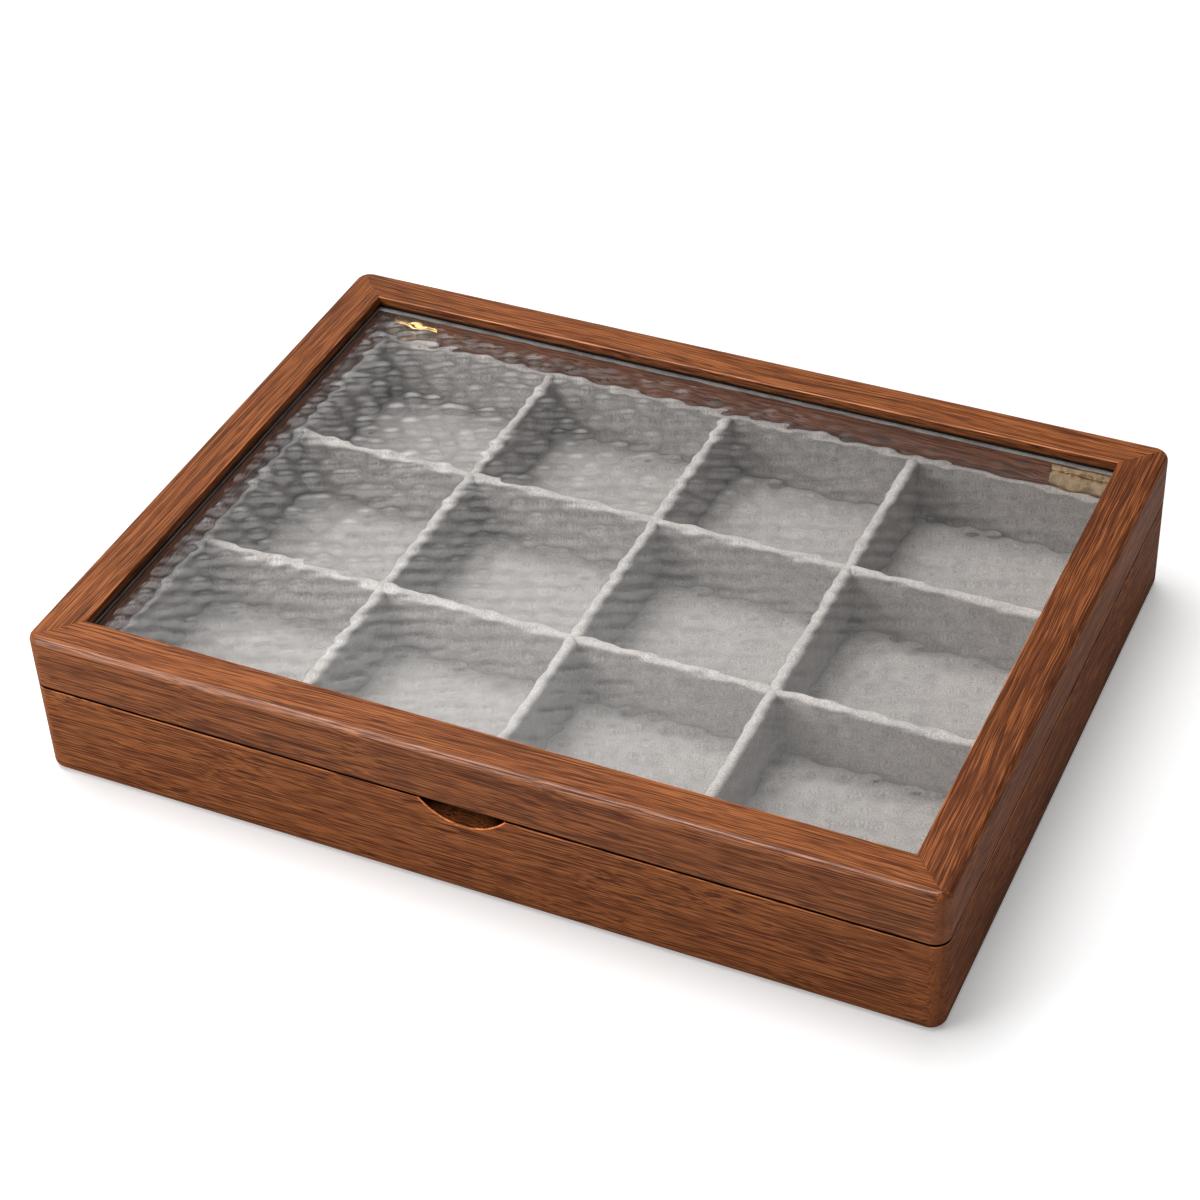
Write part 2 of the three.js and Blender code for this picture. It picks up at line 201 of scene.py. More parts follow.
def scaled(tree, vector, factor):
    return addNode(tree, "VectorMath", {0: vector, 3: factor}, operation="SCALE").outputs[0]


def split(tree, vector):
    return addNode(tree, "SeparateXYZ", {0: vector}).outputs


def newGroup(name, inputs, outputs):
    kinds = {"vector": "NodeSocketVector", "value": "NodeSocketFloat", "colour": "NodeSocketColor"}
    tree = bpy.data.node_groups.new(name, "ShaderNodeTree")
    for label, (kind, value) in inputs.items():
        socket = tree.interface.new_socket(label, in_out="INPUT", socket_type=kinds[kind])
        if value is not None:
            socket.default_value = value
    for label, kind in outputs.items():
        tree.interface.new_socket(label, in_out="OUTPUT", socket_type=kinds[kind])
    return tree, tree.nodes.new("NodeGroupInput").outputs, tree.nodes.new("NodeGroupOutput").inputs


def newMaterial(name, **surface):
    material = bpy.data.materials.new(name)
    material.use_nodes = True
    tree = material.node_tree
    shader = tree.nodes["Principled BSDF"]
    for label, value in surface.items():
        shader.inputs[label.replace("_", " ")].default_value = value
    return material, tree, shader


def addGroup(tree, group, inputs):
    made = addNode(tree, "Group", node_tree=group)
    for label, value in inputs.items():
        if isinstance(value, bpy.types.NodeSocket):
            tree.links.new(value, made.inputs[label])
        else:
            made.inputs[label].default_value = value
    return made.outputs


def inMillimetres(tree, quarters=0, tilt=(0, 0, 0), shift=(0, 0, 0)):
    # object coordinates turned back by quarter turns, then tilted in degrees and shifted in metres
    place = addNode(tree, "TexCoord").outputs["Object"]
    if quarters:
        turned = {"Vector": place, "Rotation": (0, 0, -quarters * math.pi / 2)}
        place = addNode(tree, "Mapping", turned).outputs[0]
    if any(tilt):
        tilt = tuple(math.radians(angle) for angle in tilt)
        tilted = {"Vector": place, "Rotation": tilt, "Location": shift}
        place = addNode(tree, "Mapping", tilted).outputs[0]
    return scaled(tree, place, 1 / mm)


def stretched(tree, vector, along, across):
    return addNode(tree, "VectorMath", {0: vector, 1: (1 / along, 1 / across, 1 / across)},
                   operation="MULTIPLY").outputs[0]


def noise(tree, vector, detail=2, roughness=0.5, scale=1.0):
    settings = {"Vector": vector, "Scale": scale, "Detail": detail, "Roughness": roughness}
    return addNode(tree, "TexNoise", settings).outputs["Fac"]


def spread(tree, vector, amount, along, across):
    # noise of a given length and width in millimetres, from -amount to amount
    field = noise(tree, stretched(tree, vector, along, across), 1, 0.6)
    return math2(tree, "MULTIPLY", math2(tree, "SUBTRACT", field, 0.5), 2 * amount)


# Walnut: colours are linear; the scoop's painted shade goes from low at its floor to high under the lid

quirk = {"height": 0.7 * mm, "depth": 1.5 * mm}
rebateZ = frontHigh[2] - quirk["height"]
notch = {
    "halfChord": 17.5 * mm,
    "drop": 8.7 * mm,
    "reach": 9 * mm,
    "arris": 0.45 * mm,
    "steps": 128,
    # the next three numbers scale the scoop's colour: painted shade at its floor and under the lid, then a
    # painted highlight on its arris
    "low": 0.6,
    "high": 0.03,
    "scoopHighlight": 3.4,
}
walnut = {
    "light": (0.43, 0.147, 0.049),
    "middle": (0.305, 0.093, 0.030),
    "dark": (0.125, 0.036, 0.013),
    "pore": (0.045, 0.013, 0.006),
    # the next colour is painted shade, at the glass and on the floor of the shadow line
    "shadeColour": (0.010, 0.006, 0.004),
    "roughness": 0.34,
    "gloss": 0.0,
    "satin": 0.16,
    "polish": 0.5,
    # the next three numbers scale the colour: painted highlights on the arris under the joint and on the
    # arris round the opening, painted shade at the foot
    "paintedLight": 2.2,
    "arris": 1.4,
    "foot": 0.78,
    "bump": 0.02,
    "coatRoughness": 0.28,
    "coatIndex": 1.8,
}


# each row of three is an amount, a length and a width in millimetres
grain = {
    "sway": (5, 130, 40),
    "waver": (0.8, 32, 8),
    "fibres": (1.1, 20, 0.3),
    "streaks": (1.05, 50, 0.48),
    "clouds": (0.2, 120, 9),
    "bands": (0.22, 90, 2.2),
    "pores": (0.68, 10, 0.36),
    "veins": (0.7, 70, 0.6),
    "darkFrom": 0.58,
    "darkTo": 0.72,
    "tones": (0.1, 0.5, 0.9),
}


def grainLines(tree, vector, name, fine):
    # thin dark dashes where the noise is high
    along, across = grain[name][1:]
    field = noise(tree, stretched(tree, vector, along, across), 0)
    dark = ramp(tree, field, [(grain["darkFrom"], 0.0), (grain["darkTo"], 1.0)])
    return math2(tree, "MULTIPLY", dark, fine)


def woodTone(tree, given, normal):
    # the fine grain fades where an upright corner would show its ends
    turning = math2(tree, "ABSOLUTE", math2(tree, "MULTIPLY", normal["X"], normal["Y"]))
    fine = mapped(tree, turning, (0.08, 0.4), (1.0, 0.3))
    # the grain sways over the whole board and wavers between one pore and the next
    slow = math2(tree, "MULTIPLY", spread(tree, given["Vector"], *grain["sway"]), given["Wave"])
    quick = math2(tree, "MULTIPLY", spread(tree, given["Vector"], *grain["waver"]), given["Wave"])
    sway = addNode(tree, "CombineXYZ", {"Y": math2(tree, "ADD", slow, quick)}).outputs[0]
    place = addNode(tree, "VectorMath", {0: given["Vector"], 1: sway}, operation="ADD").outputs[0]
    fibres, streaks = (
        math2(tree, "MULTIPLY", spread(tree, place, *grain[name]), fine) for name in ("fibres", "streaks")
    )
    # painted light and shade: the upright faces of a board get an added tone, set per board
    flank = mapped(tree, math2(tree, "ABSOLUTE", normal["Z"]), (0.7, 0.2), (0.0, given["Flank"]))
    tone = math2(tree, "ADD", given["Shade"], flank)
    clouds, bands = (spread(tree, place, *grain[name]) for name in ("clouds", "bands"))
    for layer in (clouds, bands, streaks, fibres):
        tone = math2(tree, "ADD", tone, layer)
    colours = (walnut["dark"], walnut["middle"], walnut["light"])
    wood = ramp(tree, tone, list(zip(grain["tones"], colours)), False)
    pores, veins = (grainLines(tree, place, name, fine) for name in ("pores", "veins"))
    dashes = math2(tree, "MULTIPLY", pores, grain["pores"][0])
    lines = math2(tree, "MAXIMUM", dashes, math2(tree, "MULTIPLY", veins, grain["veins"][0]))
    return mixColour(tree, lines, wood, (*walnut["pore"], 1)), fibres, pores


def scoopMask(tree, place, offX, into):
    # 1 inside the finger scoop and on its arris
    return product(
        tree,
        math2(tree, "LESS_THAN", into, notch["reach"] + 1 * mm),
        math2(tree, "GREATER_THAN", into, 0.03 * mm),
        math2(tree, "LESS_THAN", offX, notch["halfChord"] + 1 * mm),
        math2(tree, "GREATER_THAN", place["Z"], frontHigh[2] - notch["drop"] - 1 * mm),
        math2(tree, "LESS_THAN", place["Z"], frontHigh[2] - 0.02 * mm),
    )


def paintedEdgesAndFoot(tree, place, normal, within):
    # painted highlights on the arris under the joint and the arris round the opening; painted shade at the
    # foot
    under = mapped(tree, place["Z"], (rebateZ - 0.7 * mm, rebateZ - 0.35 * mm), (1.0, walnut["paintedLight"]))
    under = mixValue(tree, math2(tree, "GREATER_THAN", place["Z"], rebateZ + 0.1 * mm), under, 1.0)
    foot = mapped(tree, place["Z"], (frontLow[2], frontLow[2] + 8 * mm), (walnut["foot"], 1.0))
    tipped = mapped(tree, normal["Z"], (0.98, 0.9), (0.0, walnut["arris"]))
    upper = math2(tree, "GREATER_THAN", place["Z"], lidHigh[2] - 1 * mm)
    tipped = product(tree, tipped, math2(tree, "GREATER_THAN", normal["Z"], 0.25), within, upper)
    return math2(tree, "ADD", math2(tree, "MULTIPLY", under, foot), tipped)


def scoopTone(tree, place, into):
    # painted shade darkens the scoop inside, most of all under the lid, and a painted highlight lightens its
    # own arris
    inside = math2(tree, "GREATER_THAN", into, notch["arris"])
    heights = (frontHigh[2] - notch["drop"], frontHigh[2] - 3 * mm)
    gloom = mapped(tree, place["Z"], heights, (notch["low"], notch["high"]))
    return mixValue(tree, inside, notch["scoopHighlight"], gloom)


def paintShade(tree, wood, place, normal, within):
    # painted shade darkens the inner faces where they meet the glass and fills the floor of the shadow line
    shadeColour = (*walnut["shadeColour"], 1)
    seat = mapped(tree, place["Z"], (paneHigh[2] + 1.9 * mm, paneHigh[2] + 0.9 * mm), (0.0, 0.97))
    above = math2(tree, "GREATER_THAN", place["Z"], paneHigh[2] - 1 * mm)
    wood = mixColour(tree, product(tree, seat, above, within), wood, shadeColour)
    level = math2(tree, "COMPARE", place["Z"], rebateZ)
    level.node.inputs[2].default_value = 0.03 * mm
    flat = math2(tree, "MULTIPLY", level, math2(tree, "GREATER_THAN", normal["Z"], 0.8))
    return mixColour(tree, flat, wood, shadeColour)


def rubbedShine(tree, place, normal, fibres, scoop):
    # hands rub the round along the top to a shine, most of all in front
    vector = addNode(tree, "TexCoord").outputs["Normal"]
    sizes = split(tree, addNode(tree, "VectorMath", {0: vector}, operation="ABSOLUTE").outputs[0])
    largest = math2(tree, "MAXIMUM", math2(tree, "MAXIMUM", sizes[0], sizes[1]), sizes[2])
    edges = mapped(tree, largest, (0.99, 0.93), (0.0, walnut["polish"]), True)
    upper = mapped(tree, place["Z"], (lidHigh[2] - 5 * mm, lidHigh[2] - 3 * mm))
    ahead = mapped(tree, sizes[0], (0.05, 0.45), (1.0, 0.2), True)
    streaky = ramp(tree, math2(tree, "ADD", fibres, 0.5), [(0.25, 0.45), (0.7, 1.0)])
    shine = product(tree, edges, upper, streaky, ahead)
    sides = mapped(tree, place["Z"], (frontHigh[2], lidLow[2]), (0.5, 0.8))
    flat = math2(tree, "MULTIPLY", math2(tree, "MAXIMUM", normal["Z"], sides), walnut["satin"])
    polish = math2(tree, "MAXIMUM", shine, flat)
    return math2(tree, "MULTIPLY", polish, math2(tree, "SUBTRACT", 1.0, scoop))


def walnutGroup():
    tree, given, result = newGroup("walnutGrain", {
        "Vector": ("vector", None), "Wave": ("value", 1.2),
        "Shade": ("value", 0.5), "Flank": ("value", 0.0),
    }, {"Color": "colour", "Roughness": "value", "Height": "value", "Polish": "value"})
    texture = addNode(tree, "TexCoord").outputs
    normal, place = split(tree, texture["Normal"]), split(tree, texture["Object"])
    offX = math2(tree, "ABSOLUTE", place["X"])
    offY = math2(tree, "ABSOLUTE", math2(tree, "SUBTRACT", place["Y"], middleY))
    within = math2(
        tree, "MULTIPLY",
        math2(tree, "LESS_THAN", offX, halfWidth - wallThickness / 2),
        math2(tree, "LESS_THAN", offY, halfDepth - wallThickness / 2),
    )
    into = math2(tree, "SUBTRACT", place["Y"], frontLow[1])
    scoop = scoopMask(tree, place, offX, into)
    wood, fibres, pores = woodTone(tree, given, normal)
    # painted highlights and painted shade scale the grain colour, with the scoop's own inside the scoop
    paintedLight = mixValue(tree, scoop, paintedEdgesAndFoot(tree, place, normal, within), scoopTone(tree, place, into))
    wood = scaled(tree, wood, paintedLight)
    fibreRough, poreRough = (math2(tree, "MULTIPLY", part, 0.2) for part in (fibres, pores))
    rough = math2(tree, "ADD", fibreRough, poreRough)
    height = math2(tree, "SUBTRACT", math2(tree, "MULTIPLY", fibres, 0.8), pores)
    for label, value in {
        "Color": paintShade(tree, wood, place, normal, within),
        "Roughness": math2(tree, "ADD", rough, walnut["roughness"]),
        "Height": height,
        "Polish": rubbedShine(tree, place, normal, fibres, scoop),
    }.items():
        tree.links.new(value, result[label])
    return tree


walnutGrain = walnutGroup()
quarterTurns = {"front": 0, "right": 1, "back": 2, "left": 3}


def walnutMaterial(name, turn, tilt, shift, wave, shade, flank=0.0):
    # turn in quarter turns of the rail, tilt of the grain in degrees
    material, tree, shader = newMaterial(name)
    shader.inputs["Specular IOR Level"].default_value = walnut["gloss"]
    outputs = addGroup(tree, walnutGrain, {
        "Vector": inMillimetres(tree, turn, tilt, shift), "Wave": wave, "Shade": shade, "Flank": flank,
    })
    bump = addNode(tree, "Bump", {
        "Height": outputs["Height"], "Distance": walnut["bump"] * mm, "Strength": 1,
    })
    tree.links.new(outputs["Color"], shader.inputs["Base Color"])
    tree.links.new(outputs["Roughness"], shader.inputs["Roughness"])
    tree.links.new(bump.outputs[0], shader.inputs["Normal"])
    tree.links.new(outputs["Polish"], shader.inputs["Coat Weight"])
    shader.inputs["Coat Roughness"].default_value = walnut["coatRoughness"]
    shader.inputs["Coat IOR"].default_value = walnut["coatIndex"]
    return material


# Rails and walls

corner = {"radius": 6 * mm, "zone": 20 * mm, "steps": 40, "mitreGap": 0.08 * mm}
edge = {
    "top": 3 * mm,
    "foot": 3 * mm,
    "lip": 0.15 * mm,
    "rim": 0.2 * mm,
    "inner": 0.5 * mm,
    "support": 0.06 * mm,
}
groove = {"depth": 5 * mm, "gap": 0.15 * mm}


def rounded(d, z, radius, start, steps):
    # a quarter round about (d, z), with a point a little way along the flats on both sides
    turn = arc((d, z), radius, start, start - 90, steps)
    first = math.radians(start)
    into = np.array([math.sin(first), -math.cos(first)]) * edge["support"]
    out = np.array([math.sin(first - math.pi / 2), -math.cos(first - math.pi / 2)]) * edge["support"]
    return [turn[0] - into, *turn, turn[-1] + out]


def grooveCorners(low, high):
    bottom, top = low - groove["gap"], high + groove["gap"]
    inside, deep = wallThickness, wallThickness - groove["depth"]
    return [(inside, top), (deep, top), (deep, bottom), (inside, bottom)]


def lidOutline():
    foot, top, inside = lidLow[2], lidHigh[2], wallThickness
    lip, round_, inner = edge["lip"], edge["top"], edge["inner"]
    return np.array([
        *rounded(lip, foot + lip, lip, 270, 3),
        *rounded(round_, top - round_, round_, 180, 12),
        *rounded(inside - inner, top - inner, inner, 90, 4),
        *grooveCorners(paneLow[2], paneHigh[2]),
        (inside, foot),
    ])


def baseOutline():
    foot, rim, inside = frontLow[2], frontHigh[2], wallThickness
    arris, lip, round_ = edge["rim"], edge["lip"], edge["foot"]
    return np.array([
        *rounded(round_, foot + round_, round_, 270, 12),
        *rounded(arris, rim - quirk["height"] - arris, arris, 180, 4),
        (quirk["depth"], rim - quirk["height"]), (quirk["depth"], rim),
        *rounded(inside - lip, rim - lip, lip, 90, 3),
        *grooveCorners(panelLow[2], panelHigh[2]),
        (inside, foot),
    ])


def railMesh(name, side, outline):
    # a point at inset d runs straight along the side, turns on an arc of radius R - d about the
    # corner's centre and stops on the mitre; past the radius it runs straight to the mitre
    turn = quarterTurns[side]
    reach, across = (halfWidth, halfDepth) if turn % 2 == 0 else (halfDepth, halfWidth)
    inset, height = outline.T
    radius = np.maximum(corner["radius"] - inset, 0)
    straight = corner["zone"] - np.maximum(inset, corner["radius"])
    run = np.linspace(0, 1, corner["steps"] + 1)[:, None] * (straight + radius * math.pi / 4)
    angle = np.clip((run - straight) / np.maximum(radius, 1e-9), 0, math.pi / 4)
    along = reach - corner["zone"] + np.minimum(run, straight) + radius * np.sin(angle)
    along -= corner["mitreGap"] / 2
    depth = inset + radius * (1 - np.cos(angle)) - across
    along = np.concatenate([-along[::-1], along])
    depth = np.concatenate([depth[::-1], depth])
    cosine, sine = round(math.cos(turn * math.pi / 2)), round(math.sin(turn * math.pi / 2))
    grid = np.stack([
        along * cosine - depth * sine,
        along * sine + depth * cosine + middleY,
        np.broadcast_to(height, along.shape),
    ], -1)
    return tubeMesh(name, grid)


def finished(piece, body, material, nodes):
    piece.data.materials.clear()
    piece.data.materials.append(material)
    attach(piece, body)
    if nodes:
        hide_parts(*nodes)
    return piece


def notchCutter():
    # a ball whose centre is set out in front of the face; it flares at 45 degrees by the arris
    chord, drop, reach = notch["halfChord"], notch["drop"], notch["reach"]
    faceRadius = (chord ** 2 + drop ** 2) / (2 * drop)
    setOut = (chord ** 2 - reach ** 2) / (2 * reach)
    ball = math.hypot(faceRadius, setOut)
    arris = notch["arris"]
    first = math.asin((setOut + arris) / ball)
    swing = np.linspace(first, math.pi / 2 - 0.02, 24)
    along = np.concatenate([[-2 * mm], [0.0], ball * np.sin(swing) - setOut])
    inner = ball * math.cos(first)
    radius = np.concatenate([[inner + arris + 2 * mm], [inner + arris], ball * np.cos(swing)])
    angle = np.linspace(0, 2 * math.pi, notch["steps"], endpoint=False)
    grid = np.stack([
        radius[:, None] * np.cos(angle),
        np.broadcast_to(frontLow[1] + along[:, None], (len(along), len(angle))),
        frontHigh[2] - drop + faceRadius + radius[:, None] * np.sin(angle),
    ], -1)
    return tubeMesh("notch_cutter", grid)


hinge = {"leaf": 1 * mm, "spacing": 0.3 * mm, "web": 0.3 * mm, "room": 0.2 * mm, "past": 1 * mm}
hingeSides = ("left", "right")


def mortiseCutters(side, part):
    # a pocket for the leaf's upright plate and a seat for its web, through the back
    leafLow, leafHigh = map(np.array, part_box(f"{side}_hinge_{part}_leaf"))
    inside, back = backLow[1], backHigh[1]
    jointZ = (frontHigh[2] + lidLow[2]) / 2
    room, past = hinge["room"], hinge["past"]
    x0, x1 = leafLow[0] - room, leafHigh[0] + room
    webDepth = hinge["web"] + hinge["leaf"] + room
    if part == "base":
        plateBack = inside + hinge["leaf"] + room
        plate = ((x0, inside - past, leafLow[2] - room), (x1, plateBack, jointZ + past))
        seat = ((x0, inside - past, jointZ - webDepth), (x1, back + past, jointZ + past))
    else:
        plateBack = inside + 2 * hinge["leaf"] + hinge["spacing"] + room
        plate = ((x0, inside - past, jointZ - past), (x1, plateBack, leafHigh[2] + room))
        seat = ((x0, inside - past, jointZ - past), (x1, back + past, jointZ + webDepth))
    return [blockMesh("pocket_cutter", *plate), blockMesh("seat_cutter", *seat)]


# grain of each board: tilt in degrees, shift in metres, wave, shade and the tone its upright faces add as
# painted light and shade
wallGrain = {
    "front": ((8, 0.5, 1.2), (0.31, 0.02, 0.41), 1.0, 0.54),
    "back": ((15, -0.5, 1.0), (1.7, 0.33, 0.12), 1.0, 0.46),
    "left": ((12, 0.4, -1.0), (0.9, 1.31, 0.77), 1.0, 0.46),
    "right": ((-9, -0.6, 0.8), (2.3, 0.56, 1.41), 1.0, 0.42),
}
railGrain = {
    "front": ((20, 0.5, -0.8), (0.11, 0.62, 1.93), 0.8, 0.53, -0.03),
    "back": ((10, 0.2, 0.6), (3.1, 0.21, 0.52), 0.7, 0.54),
    "left": ((-14, 0.3, 0.7), (1.45, 2.05, 0.33), 0.6, 0.44),
    "right": ((9, -0.4, -0.9), (2.75, 1.11, 0.91), 0.7, 0.27, 0.22),
}

for side in quarterTurns:
    wall = railMesh(f"{side}_wall_walnut", side, baseOutline())
    rail = railMesh(f"{side}_rail_walnut", side, lidOutline())
    if side == "front":
        cutAway(wall, [notchCutter()])
    if side == "back":
        cutAway(wall, [c for s in hingeSides for c in mortiseCutters(s, "base")])
        cutAway(rail, [c for s in hingeSides for c in mortiseCutters(s, "lid")])
    turn = quarterTurns[side]
    wallWood = walnutMaterial(f"walnut_{side}_wall", turn, *wallGrain[side])
    railWood = walnutMaterial(f"walnut_{side}_rail", turn, *railGrain[side])
    finished(wall, "base", wallWood, [f"base_{side}_wall"])
    finished(rail, "lid", railWood, [f"lid_{side}_rail"])
print("walnut walls and rails made")


# Velvet: a pile that stands proud of the boards it is wrapped round

velvet = {
    "colour": (0.64, 0.60, 0.58),
    "dark": (0.37, 0.345, 0.33),
    # the next three numbers scale the colour: a painted highlight on the rims, painted shade on the floors
    # and on faces turned towards +X
    "rimHighlight": 1.25,
    "floor": 0.86,
    "sideShade": 0.66,
    "cell": 0.75 * mm,
    "pile": 0.07 * mm,
    "tufts": 0.08 * mm,
    "wrap": 0.10 * mm,
    "sunk": 0.7 * mm,
    "cells": (1.8 * mm, 3.6 * mm, 17 * mm),
    "seed": 11,
}
skew = np.array([[0.79, 0.48, -0.38], [-0.58, 0.77, -0.26], [0.17, 0.43, 0.89]])


def velvetRelief(points, pile):
    # tufts over clumps and the slow unevenness of the wrap, all on a lattice askew to the boards
    fine, clumps, slow = (
        valueNoise(points @ skew, cell, velvet["seed"] + k) for k, cell in enumerate(velvet["cells"])
    )
    return pile * fine + velvet["tufts"] * clumps + velvet["wrap"] * slow


def velvetMaterial():
    material, tree, shader = newMaterial("velvet", Roughness=0.95, Sheen_Weight=0.35, Sheen_Roughness=0.4)
    shader.inputs["Specular IOR Level"].default_value = 0.1
    place = inMillimetres(tree)
    nap = noise(tree, place, 3, 0.65, 0.16)
    speck = noise(tree, place, 2, 0.7, 1.9)
    tone = math2(tree, "ADD", math2(tree, "MULTIPLY", nap, 0.3), math2(tree, "MULTIPLY", speck, 0.7))
    colour = ramp(tree, tone, [(0.39, velvet["dark"]), (0.61, velvet["colour"])], False)
    # painted highlight makes the rims lighter; painted shade darkens the floors and the faces turned towards
    # +X
    height = split(tree, place)["Z"]
    top, floor = dividerHigh[2] / mm, padTop / mm
    rim = mapped(tree, height, (top - 1.4, top - 0.5), (1.0, velvet["rimHighlight"]), True)
    deep = mapped(tree, height, (floor + 1, floor + 6), (velvet["floor"], 1.0))
    facing = split(tree, addNode(tree, "TexCoord").outputs["Normal"])["X"]
    sideShade = mapped(tree, facing, (0.0, 1.0), (1.0, velvet["sideShade"]))
    lit = scaled(tree, colour, product(tree, rim, deep, sideShade))
    tree.links.new(lit, shader.inputs["Base Color"])
    bump = addNode(tree, "Bump", {"Height": noise(tree, place, 2, 0.7, 1.8), "Distance": 0.2 * mm})
    tree.links.new(bump.outputs[0], shader.inputs["Normal"])
    return material


dividerLow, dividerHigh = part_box("row_divider_1")
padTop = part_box("tray_pad")[1][2]
velvetCloth = velvetMaterial()


def resampled(outline, spacing):
    # points at about equal spacing round a closed outline, its corners kept
    following = np.roll(outline, -1, axis=0)
    parts = []
    for start, end in zip(outline, following):
        count = max(1, round(np.linalg.norm(end - start) / spacing))
        parts.append(start + (end - start) * (np.arange(count) / count)[:, None])
    return np.concatenate(parts)


def stripOutline(thickness, foot, top, radius):
    # (across, z): an upright with a rounded top
    half = thickness / 2
    radius = min(radius, half)
    head = top - radius
    return np.array([
        (half, foot),
        *arc((half - radius, head), radius, 0, 90, 5),
        *arc((radius - half, head), radius, 90, 180, 5),
        (-half, foot),
    ])


def velvetStrip(name, node, radius, slots=(), slotLow=None, slotHigh=None):
    # the outline of one wall or divider carried along its length, pushed out along its own
    # normals by the pile; in a slot it keeps only what lies under slotLow or over slotHigh
    low, high = map(np.array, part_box(node))
    if slots:
        low[2] -= velvet["sunk"]
    axis = 0 if high[0] - low[0] > high[1] - low[1] else 1
    across = 1 - axis
    shrink = velvet["pile"]
    outline = stripOutline(high[across] - low[across] - 2 * shrink, low[2], high[2] - shrink, radius)
    outline = resampled(outline, velvet["cell"])
    tangent = np.roll(outline, -1, axis=0) - np.roll(outline, 1, axis=0)
    normal = np.stack([tangent[:, 1], -tangent[:, 0]], -1)
    normal /= np.linalg.norm(normal, axis=1)[:, None]
    length = high[axis] - low[axis]
    stations = np.linspace(low[axis], high[axis], round(length / velvet["cell"]) + 1)
    edges = [place + sign * half for place, half in slots for sign in (-1, 1)]
    lip = 0.01 * mm
    stations = np.sort(np.concatenate([stations, *[[e - lip, e + lip] for e in edges]]))
    grid = np.zeros((len(stations), len(outline), 3))
    grid[..., axis] = stations[:, None]
    grid[..., across] = outline[:, 0] + (low[across] + high[across]) / 2
    grid[..., 2] = outline[:, 1]
    push = velvetRelief(grid, velvet["pile"])
    push *= np.clip((outline[:, 1] - low[2]) / (1 * mm), 0, 1)
    grid[..., across] += push * normal[:, 0]
    grid[..., 2] += push * normal[:, 1]
    for place, half in slots:
        inside = np.abs(stations - place) < half
        part = grid[inside, :, 2]
        grid[inside, :, 2] = np.minimum(part, slotLow) if slotLow else np.maximum(part, slotHigh)
    return tubeMesh(name, grid, 80)


dividerRound = 2 * mm
trayWallRound = 1.2 * mm
columnNodes = [f"column_divider_{i}" for i in (1, 2, 3)]
rowNodes = [f"row_divider_{i}" for i in (1, 2)]
columnX = [sum(c[0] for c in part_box(n)) / 2 for n in columnNodes]
rowY = [sum(c[1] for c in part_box(n)) / 2 for n in rowNodes]
lapZ = (dividerLow[2] + dividerHigh[2]) / 2
slotHalf = 1 * mm

for side in quarterTurns:
    node = f"tray_{side}_wall"
    strip = velvetStrip(f"{side}_tray_wall_velvet", node, trayWallRound)
    finished(strip, "base", velvetCloth, [node])
for number, node in enumerate(columnNodes, 1):
    slots = [(y, slotHalf) for y in rowY]
    strip = velvetStrip(f"column_{number}_velvet", node, dividerRound, slots, slotHigh=lapZ + 0.1 * mm)
    finished(strip, "base", velvetCloth, [node])
for number, node in enumerate(rowNodes, 1):
    slots = [(x, slotHalf) for x in columnX]
    strip = velvetStrip(f"row_{number}_velvet", node, dividerRound, slots, slotLow=lapZ - 0.1 * mm)
    finished(strip, "base", velvetCloth, [node])

pad = {"cell": 1.25 * mm, "crown": 0.5 * mm, "sink": 0.1 * mm, "fill": 0.9}


def slabMesh(name, top, foot):
    # top[row, column]: the upper surface, over upright sides and a flat underside at the foot
    rows, columns = top.shape[:2]
    edgeLoop = np.concatenate([
        np.arange(columns), np.arange(1, rows) * columns + columns - 1,
        np.arange(columns - 2, -1, -1) + (rows - 1) * columns, np.arange(rows - 2, 0, -1) * columns,
    ])
    under = top.reshape(-1, 3)[edgeLoop] * np.array([1, 1, 0]) + np.array([0, 0, foot])
    lowLoop = rows * columns + np.arange(len(edgeLoop))
    sides = np.stack([edgeLoop, np.roll(edgeLoop, -1), np.roll(lowLoop, -1), lowLoop], -1)
    points = np.concatenate([top.reshape(-1, 3), under])
    return makeMesh(name, points, [gridQuads(rows, columns, 0, False), sides, lowLoop[None]], 60)


def padMesh():
    # a slab whose top rises in each compartment as a product of two flat-topped bows
    low, high = map(np.array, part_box("tray_pad"))
    counts = np.round((high - low)[:2] / pad["cell"]).astype(int) + 1
    x = np.linspace(low[0], high[0], counts[0])
    y = np.linspace(low[1], high[1], counts[1])

    def bow(place, dividers, ends):
        stops = np.array(sorted([ends[0], *dividers, ends[1]]))
        index = np.clip(np.searchsorted(stops, place) - 1, 0, len(stops) - 2)
        part = (place - stops[index]) / (stops[index + 1] - stops[index])
        return 1 - np.abs(2 * part - 1) ** 4

    rise = bow(x, columnX, (low[0], high[0]))[:, None] * bow(y, rowY, (low[1], high[1]))
    top = np.stack(np.broadcast_arrays(x[:, None], y, high[2] - pad["sink"] + 0 * rise), -1)
    top[..., 2] += pad["crown"] * rise + velvetRelief(top, 0) * np.minimum(1, 4 * rise)
    return slabMesh("tray_floor_velvet", top, low[2])


floorPad = finished(padMesh(), "base", velvetCloth, ["tray_pad"])
print("velvet tray made")


# Glass: a flat sheet whose top is hammered into shallow dimples

glass = {
    "cell": 1.0 * mm,
    "dimpleLong": 9.4 * mm,
    "dimpleShort": 7.4 * mm,
    "turn": 20,
    "slope": 0.029,
    "deeper": (1.3, 0.3),
    "spread": 0.27,
    "jitter": 0.24,
    "uneven": 0.4,
    "flatEdge": 2.5 * mm,
    "crest": 0.2 * mm,
    "dust": 0.3,
    "seed": 5,
}


